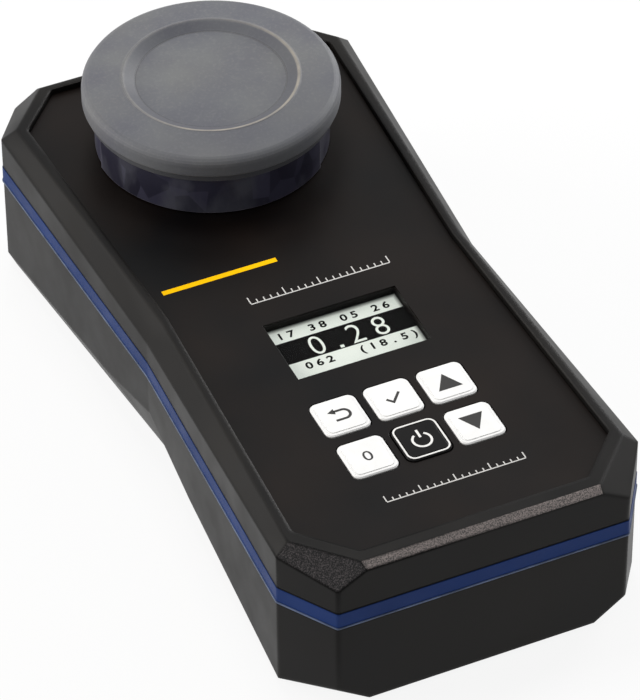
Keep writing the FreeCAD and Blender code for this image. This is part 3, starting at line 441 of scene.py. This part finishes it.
def lcd_material():
    # Pale display with a faint dot grid, lit from behind, in shade along its back and right edges
    mat, shader = start_material("lcd_pale")
    tone = spread(mat, noise(mat, 60.0, detail=2.0))
    base = blend_colours(mat, tone, rgb(196, 204, 196), rgb(214, 220, 212))
    checker = add(mat.node_tree.nodes, "ShaderNodeTexChecker")
    checker.inputs["Scale"].default_value = 6000.0
    mat.node_tree.links.new(object_place(mat), checker.inputs["Vector"])
    dots = times(mat, checker.outputs["Fac"], 0.06)
    base = blend_colours(mat, dots, base, rgb(170, 178, 172))
    x, y = split_place(mat)[:2]
    behind = spread(mat, y, 0.0, 1.0, *LCD_BACK_FADE)
    beside = spread(mat, x, 0.0, 1.0, *LCD_SIDE_FADE)
    shade = math_node(mat, "MAXIMUM", behind, beside)
    base = blend_colours(mat, shade, base, rgb(40, 42, 41))
    rough = spread(mat, noise(mat, 300.0, detail=2.0), 0.3, 0.4)
    normal = bump(mat, noise(mat, 900.0, detail=2.0), distance=0.000002, strength=0.3)
    glow_from(mat, shader, base, 0.35)
    return finish_shader(mat, shader, base, rough, normal)


def clear_material(name, colour, alpha, rough, ior=1.45):
    mat, shader = start_material(name)
    tone = spread(mat, noise(mat, 90.0, detail=2.0))
    base = blend_colours(mat, tone, scaled(colour, 0.96), colour)
    uneven = spread(mat, noise(mat, 160.0), rough, rough + 0.05)
    normal = bump(mat, noise(mat, 400.0, detail=2.0), distance=0.000002, strength=0.2)
    shader.inputs["Alpha"].default_value = alpha
    return finish_shader(mat, shader, base, uneven, normal, ior)


def ink(name, colour, rough=0.5, glow=0.0, ior=1.35):
    # Printed ink, slightly uneven in tone
    mat, shader = start_material(name)
    tone = spread(mat, noise(mat, 900.0))
    base = blend_colours(mat, tone, scaled(colour, 0.93), scaled(colour, 1.03))
    uneven = spread(mat, noise(mat, 600.0, detail=2.0), rough - 0.05, rough + 0.05)
    normal = bump(mat, noise(mat, 4000.0, detail=2.0), distance=0.000002, strength=0.4)
    if glow > 0.0:
        glow_from(mat, shader, base, glow)
    return finish_shader(mat, shader, base, uneven, normal, ior)


MOULDED = {
    "band_blue": dict(colour=rgb(21, 46, 98), rough=0.5, grain=2600.0, depth=0.000008,
                      wear_and_highlight=0.1, ior=1.21),
    "bead_pale": dict(colour=rgb(80, 92, 118), grain=2600.0, depth=0.000006, blotch=0.5,
                      blotch_scale=260.0, wear_and_highlight=0.2, ior=1.3),
    "light_guide": dict(colour=rgb(226, 230, 226), rough=0.35),
    "frame_black": dict(colour=rgb(24, 24, 24), rough=0.5),
    "flex_amber": dict(colour=rgb(178, 112, 40), rough=0.3, grain=900.0),
    "key_black": dict(colour=rgb(10, 9, 9), rough=0.4, grain=3000.0, depth=0.000004,
                      blotch=0.15, wear_and_highlight=0.2, ior=1.2),
    "silicone_grey": dict(colour=rgb(150, 152, 156), rough=0.6),
    "board_green": dict(colour=rgb(26, 86, 48), rough=0.35, grain=700.0, depth=0.00003,
                        blotch=0.35, blotch_scale=420.0, wear_and_highlight=0.2),
    "chip_black": dict(colour=rgb(30, 30, 32), rough=0.55),
    "shield_can": dict(colour=rgb(176, 176, 174), rough=0.3, grain=1500.0, blotch=0.1,
                       wear_and_highlight=0.2, metallic=1.0, stretch=(1.0, 12.0, 1.0)),
    "screw_steel": dict(colour=rgb(150, 150, 150), rough=0.32, grain=2600.0, blotch=0.15,
                        wear_and_highlight=0.4, metallic=1.0),
    "chamber_black": dict(colour=rgb(24, 24, 25), rough=0.55, grain=2600.0, depth=0.00002),
    "seal_rubber": dict(colour=rgb(22, 22, 22), rough=0.6, grain=1500.0, depth=0.00002),
    "emitter_clear": dict(colour=rgb(206, 212, 220), rough=0.2),
    "lid_white": dict(colour=rgb(226, 226, 222), rough=0.42, grain=1600.0, blotch=0.05,
                      wear_and_highlight=0.1),
    "liner_foam": dict(colour=rgb(40, 40, 42), rough=0.85, grain=1200.0, depth=0.00012),
    "cell_sleeve": dict(colour=rgb(64, 74, 92), rough=0.3, grain=500.0, depth=0.000006,
                        blotch=0.3, blotch_scale=60.0, wear_and_highlight=0.4),
    "contact_nickel": dict(colour=rgb(200, 196, 184), rough=0.28, grain=1600.0, metallic=1.0),
    "door_black": dict(colour=rgb(30, 29, 28), grain=3000.0, depth=0.000012, blotch=0.2,
                       wear_and_highlight=0.4, ior=1.35),
    "foot_rubber": dict(colour=rgb(26, 26, 26), rough=0.7, grain=1400.0, depth=0.00003),
}

CLEAR = {
    "window_clear": dict(colour=(0.03, 0.03, 0.03, 1.0), alpha=0.06, rough=0.05, ior=1.3),
    "cuvette_glass": dict(colour=(0.88, 0.94, 0.92, 1.0), alpha=0.28, rough=0.04),
}


def slot_materials():
    looks = {name: moulded(name, **values) for name, values in MOULDED.items()}
    for name, values in CLEAR.items():
        looks[name] = clear_material(name, **values)
    looks["housing_black"] = housing_material()
    looks["panel_black"] = panel_material()
    looks["cap_grey"] = cap_material()
    looks["skirt_smoke"] = skirt_material()
    looks["key_white"] = key_material()
    looks["lcd_pale"] = lcd_material()
    return looks


# Solids

def dress_nodes():
    looks = slot_materials()
    for part in frame["record"]["subparts"]:
        node = frame["nodes"][part["node"]]
        for place in node.material_slots:
            place.material = looks[part["material_slot"]]


def weld_points(node):
    # Closes hairline gaps in the mesh of a solid
    weld = node.modifiers.new("weld", "WELD")
    weld.merge_threshold = WELD_GAP


def soften_edges(node):
    # Small real roundings on the outer edges of a plain-sided solid
    weld_points(node)
    flat = node.modifiers.new("flat", "DECIMATE")
    flat.decimate_type = "DISSOLVE"
    flat.angle_limit = math.radians(FLAT_ANGLE)
    round_off = node.modifiers.new("round_off", "BEVEL")
    round_off.width = ROUND_WIDTH
    round_off.segments = ROUND_STEPS
    round_off.limit_method = "ANGLE"
    round_off.angle_limit = math.radians(ROUND_ANGLE)


# Flat prints

def keep_piece(name, made, body, material):
    data = bpy.data.meshes.new(name)
    made.to_mesh(data)
    made.free()
    piece = bpy.data.objects.new(name, data)
    bpy.context.scene.collection.objects.link(piece)
    data.materials.append(material)
    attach(piece, body)
    return piece


def plates(name, rings, layer):
    # One flat plate for each ring of (x, y) places in millimetres
    made = bmesh.new()
    foot, top = layer.z * MM, (layer.z + layer.thickness) * MM
    for ring in rings:
        low = [made.verts.new((x * MM, y * MM, foot)) for x, y in ring]
        high = [made.verts.new((x * MM, y * MM, top)) for x, y in ring]
        made.faces.new(high)
        made.faces.new(low[::-1])
        for i in range(len(ring)):
            j = (i + 1) % len(ring)
            made.faces.new((low[i], low[j], high[j], high[i]))
    bmesh.ops.recalc_face_normals(made, faces=made.faces)
    keep_piece(name, made, layer.body, layer.material)


def stroke(name, points, layer, width, closed=False):
    # A line of even width through the points, as one closed solid
    shortest, mitre = 1e-9, 0.5
    n = len(points)
    sides = []
    for i in range(n):
        before = points[(i - 1) % n] if closed or i > 0 else points[i]
        after = points[(i + 1) % n] if closed or i < n - 1 else points[i]
        a = Vector(points[i]) - Vector(before)
        b = Vector(after) - Vector(points[i])
        a = a.normalized() if a.length > shortest else b.normalized()
        b = b.normalized() if b.length > shortest else a
        normal = Vector((-(a.y + b.y), a.x + b.x)).normalized()
        half = width / 2 / max(mitre, normal.dot(Vector((-a.y, a.x))))
        centre = Vector(points[i])
        sides.append((centre + normal * half, centre - normal * half))
    made = bmesh.new()
    foot, top = layer.z * MM, (layer.z + layer.thickness) * MM
    rows = []
    for left, right in sides:
        corners = ((left, foot), (right, foot), (right, top), (left, top))
        rows.append([made.verts.new((p.x * MM, p.y * MM, h)) for p, h in corners])
    for i in range(n if closed else n - 1):
        a = rows[i]
        b = rows[(i + 1) % n]
        for k in range(4):
            made.faces.new((a[k], b[k], b[(k + 1) % 4], a[(k + 1) % 4]))
    if not closed:
        made.faces.new(rows[0])
        made.faces.new(rows[-1][::-1])
    bmesh.ops.recalc_face_normals(made, faces=made.faces)
    keep_piece(name, made, layer.body, layer.material)


def rectangle(x0, y0, x1, y1):
    return [(x0, y0), (x1, y0), (x1, y1), (x0, y1)]


def arc(cx, cy, radius, start, end, count):
    # Places on an arc, from one angle to another in degrees
    out = []
    for i in range(count + 1):
        a = math.radians(start + (end - start) * i / count)
        out.append((cx + radius * math.cos(a), cy + radius * math.sin(a)))
    return out


def round_rect(cx, cy, w, h, r, count=6):
    out = []
    for sx, sy, start in ((1, 1, 0), (-1, 1, 90), (-1, -1, 180), (1, -1, 270)):
        out += arc(cx + sx * (w / 2 - r), cy + sy * (h / 2 - r), r, start, start + 90, count)
    return out


def figures(name, text, foot, layer, height, pitch=1.0, width=1.0, weight=0.0):
    # Plain figures, one by one at an even pitch; foot is the middle of the first one's foot
    made = bmesh.new()
    z = (layer.z + layer.thickness / 2) * MM
    for i, letter in enumerate(text):
        if letter == " ":
            continue
        curve = bpy.data.curves.new(name + "_line", "FONT")
        curve.body = letter
        curve.align_x = "CENTER"
        curve.size = height / FIGURE_SHARE
        curve.extrude = layer.thickness / 2
        curve.resolution_u = FIGURE_STEPS
        curve.offset = weight
        holder = bpy.data.objects.new(name + "_line", curve)
        bpy.context.scene.collection.objects.link(holder)
        bpy.context.view_layer.update()
        flat = bpy.data.meshes.new_from_object(holder)
        move = Matrix.Translation(((foot[0] + i * pitch) * MM, foot[1] * MM, z))
        flat.transform(move @ Matrix.Diagonal((MM * width, MM, MM, 1.0)))
        made.from_mesh(flat)
        bpy.data.objects.remove(holder)
        bpy.data.curves.remove(curve)
        bpy.data.meshes.remove(flat)
    bmesh.ops.remove_doubles(made, verts=made.verts, dist=SAME_POINT)
    keep_piece(name, made, layer.body, layer.material)


# Key symbols

def key_symbols(dark, pale):
    def on_key(key):
        return Layer(KEY_TOP, SYMBOL_T, key, dark, "frame_black")

    x, y = -KEY_PITCH, BACK_ROW_Y
    turn = arc(x + 0.8, y - 0.05, radius=1.35, start=85, end=-85, count=12)
    bend = [(x - 0.9, y + 1.3), (x + 0.6, y + 1.3)] + turn + [(x - 1.4, y - 1.4)]
    stroke("back_bend", bend, on_key("key_back"), width=0.6)
    head = [(x - 2.3, y + 1.3), (x - 0.75, y + 2.15), (x - 0.75, y + 0.45)]
    plates("back_head", [head], on_key("key_back"))
    tick = [(-1.55, y + 0.1), (-0.4, y - 1.15), (1.75, y + 1.35)]
    stroke("enter_tick", tick, on_key("key_enter"), width=0.56)
    x = KEY_PITCH
    up = [(x - 2.7, y - 2.2), (x + 2.7, y - 2.2), (x, y + 2.45)]
    plates("up_mark", [up], on_key("key_up"))
    y = FRONT_ROW_Y
    down = [(x - 2.7, y + 2.3), (x, y - 2.35), (x + 2.7, y + 2.3)]
    plates("down_mark", [down], on_key("key_down"))
    figures("zero_mark", "0", (-KEY_PITCH, y - 1.4), on_key("key_zero"), height=2.9, width=1.15)
    power = Layer(KEY_TOP, SYMBOL_T, "key_power", pale, "key_white")
    ring = arc(0.0, y - 0.35, radius=2.0, start=122, end=418, count=28)
    stroke("power_ring", ring, power, width=0.5)
    stroke("power_bar", [(0.0, y + 2.75), (0.0, y + 0.45)], power, width=0.52)
    outline = round_rect(0.0, y, w=9.3, h=9.7, r=1.6)
    stroke("power_outline", outline, power, width=0.38, closed=True)


# Display picture: three rows of plain figures, the middle one pale on a black band

def display_picture():
    black = ink("lcd_black", rgb(5, 5, 5), ior=1.08)
    light = ink("lcd_light", rgb(216, 222, 214), rough=0.45, glow=0.3)
    dark_layer = Layer(LCD_Z, SYMBOL_T, "housing", black, "frame_black")
    pale_layer = Layer(LCD_Z + SYMBOL_T, PRINT_T, "housing", light, "lcd_pale")
    plates("lcd_band", [rectangle(*LCD_BAND)], dark_layer)
    large = dict(layer=pale_layer, height=6.0, width=0.88, weight=-0.07)
    figures("lcd_large", "0", (-6.5, -19.2), **large)
    figures("lcd_large_rest", "28", (2.3, -19.2), pitch=5.75, **large)
    plates("lcd_point", [rectangle(*LCD_POINT)], pale_layer)
    row = dict(layer=dark_layer, height=2.0, pitch=2.42, width=1.12, weight=0.075)
    figures("lcd_upper", "17 38 05 26", (-12.4, -11.8), **row)
    figures("lcd_lower", "062  (18.5)", (-10.5, -22.35), **row)


# Panel print: a plain yellow bar and two plain scales

def scale_marks(name, layer, x0, x1, y, tall):
    # A base line with 20 steps, every fifth mark at full height
    count, every, short, half = 20, 5, 0.55, 0.13
    rings = [rectangle(x0, y, x1, y + 0.28)]
    for i in range(count + 1):
        x = x0 + (x1 - x0) * i / count
        high = tall if i % every == 0 else tall * short
        rings.append(rectangle(x - half, y + 0.3, x + half, y + high))
    plates(name, rings, layer)


def panel_print():
    grey = ink("print_grey", rgb(205, 203, 200), rough=0.55)
    yellow = ink("print_yellow", rgb(255, 196, 0), rough=0.55, ior=1.15)
    bar_layer = Layer(PANEL_Z, PRINT_T, "housing", yellow, "bead_pale")
    plates("print_bar", [rectangle(*PANEL_BAR)], bar_layer)
    scale_layer = Layer(PANEL_Z, PRINT_T, "housing", grey, "bead_pale")
    scale_marks("print_scale_back", scale_layer, x0=-14.6, x1=17.4, y=-1.2, tall=2.4)
    scale_marks("print_scale_front", scale_layer, x0=-14.0, x1=17.0, y=-67.2, tall=2.0)


# Stage, lights and camera

def sees_backdrop(nodes, links):
    # 1 for rays that show the backdrop: camera, glossy and transmission
    path = add(nodes, "ShaderNodeLightPath")
    seen = path.outputs["Is Camera Ray"]
    for kind in ("Is Glossy Ray", "Is Transmission Ray"):
        either = add(nodes, "ShaderNodeMath", operation="MAXIMUM")
        links.new(seen, either.inputs[0])
        links.new(path.outputs[kind], either.inputs[1])
        seen = either.outputs["Value"]
    return seen


def make_world():
    world = bpy.data.worlds.new("studio")
    bpy.context.scene.world = world
    world.use_nodes = True
    nodes = world.node_tree.nodes
    links = world.node_tree.links
    nodes.clear()
    out = add(nodes, "ShaderNodeOutputWorld")
    mix = add(nodes, "ShaderNodeMixShader")
    links.new(sees_backdrop(nodes, links), mix.inputs["Fac"])
    for socket, strength in ((mix.inputs[1], WORLD_LIGHT), (mix.inputs[2], 1.0)):
        light = add(nodes, "ShaderNodeBackground")
        light.inputs["Color"].default_value = WHITE
        light.inputs["Strength"].default_value = strength
        links.new(light.outputs["Background"], socket)
    links.new(mix.outputs["Shader"], out.inputs["Surface"])


def make_floor():
    made = bmesh.new()
    ring = rectangle(-FLOOR_HALF, -FLOOR_HALF, FLOOR_HALF, FLOOR_HALF)
    made.faces.new([made.verts.new((x, y, FLOOR_Z)) for x, y in ring])
    data = bpy.data.meshes.new("floor")
    made.to_mesh(data)
    made.free()
    floor = bpy.data.objects.new("floor", data)
    bpy.context.scene.collection.objects.link(floor)
    mat = bpy.data.materials.new("floor_pale")
    mat.use_nodes = True
    nodes = mat.node_tree.nodes
    links = mat.node_tree.links
    nodes.clear()
    out = add(nodes, "ShaderNodeOutputMaterial")
    diffuse = add(nodes, "ShaderNodeBsdfDiffuse")
    diffuse.inputs["Color"].default_value = FLOOR_COLOUR
    glow = add(nodes, "ShaderNodeEmission")
    glow.inputs["Color"].default_value = WHITE
    mix = add(nodes, "ShaderNodeMixShader")
    links.new(times(mat, sees_backdrop(nodes, links), FLOOR_WHITE), mix.inputs["Fac"])
    links.new(diffuse.outputs["BSDF"], mix.inputs[1])
    links.new(glow.outputs["Emission"], mix.inputs[2])
    links.new(mix.outputs["Shader"], out.inputs["Surface"])
    data.materials.append(mat)


def softbox(name, place, size, power, colour=(1.0, 1.0, 1.0)):
    # A rectangular lamp that faces the object
    data = bpy.data.lights.new(name, "AREA")
    data.shape = "RECTANGLE"
    data.size, data.size_y = size
    data.energy = power
    data.color = colour
    lamp = bpy.data.objects.new(name, data)
    lamp.location = place
    aim = Vector((0.0, 0.0, 0.0)) - Vector(place)
    lamp.rotation_euler = aim.to_track_quat("-Z", "Y").to_euler()
    bpy.context.scene.collection.objects.link(lamp)


def make_camera():
    azimuth = math.radians(CAMERA_AZIMUTH)
    elevation = math.radians(CAMERA_ELEVATION)
    roll = math.radians(CAMERA_ROLL)
    back = Vector((math.sin(azimuth) * math.cos(elevation),
                   -math.cos(azimuth) * math.cos(elevation),
                   math.sin(elevation)))
    right = (-back).cross(Vector((0.0, 0.0, 1.0))).normalized()
    up = right.cross(-back)
    across = right * math.cos(roll) + up * math.sin(roll)
    above = up * math.cos(roll) - right * math.sin(roll)
    data = bpy.data.cameras.new("camera")
    data.sensor_width = SENSOR_WIDTH
    data.lens = CAMERA_FOCAL * SENSOR_WIDTH / FRAME_HEIGHT
    data.shift_x = CAMERA_SHIFT[0] / FRAME_HEIGHT
    data.shift_y = CAMERA_SHIFT[1] / FRAME_HEIGHT
    data.clip_start, data.clip_end = CAMERA_CLIP
    camera = bpy.data.objects.new("camera", data)
    place = Vector(CAMERA_TARGET) + back * CAMERA_DISTANCE
    turn = Matrix((across, above, back)).transposed().to_4x4()
    camera.matrix_world = Matrix.Translation(place) @ turn
    bpy.context.scene.collection.objects.link(camera)
    bpy.context.scene.camera = camera


bpy.context.scene.view_settings.view_transform = "Standard"
dress_nodes()
soften_edges(frame["nodes"]["upper_shell"])
soften_edges(frame["nodes"]["lower_shell"])
weld_points(frame["nodes"]["cuvette"])
key_symbols(ink("symbol_dark", rgb(40, 39, 38)), ink("symbol_pale", rgb(236, 235, 232)))
display_picture()
panel_print()
make_world()
make_floor()
softbox("top", (0.0, 0.4, 1.25), size=(0.45, 0.45), power=6.1)
softbox("back_left", (-1.15, 0.5, 0.6), size=(0.9, 0.7), power=12.8, colour=(1.0, 0.965, 0.92))
softbox("back_right", (1.1, 0.55, 0.5), size=(0.6, 0.5), power=11.0)
make_camera()
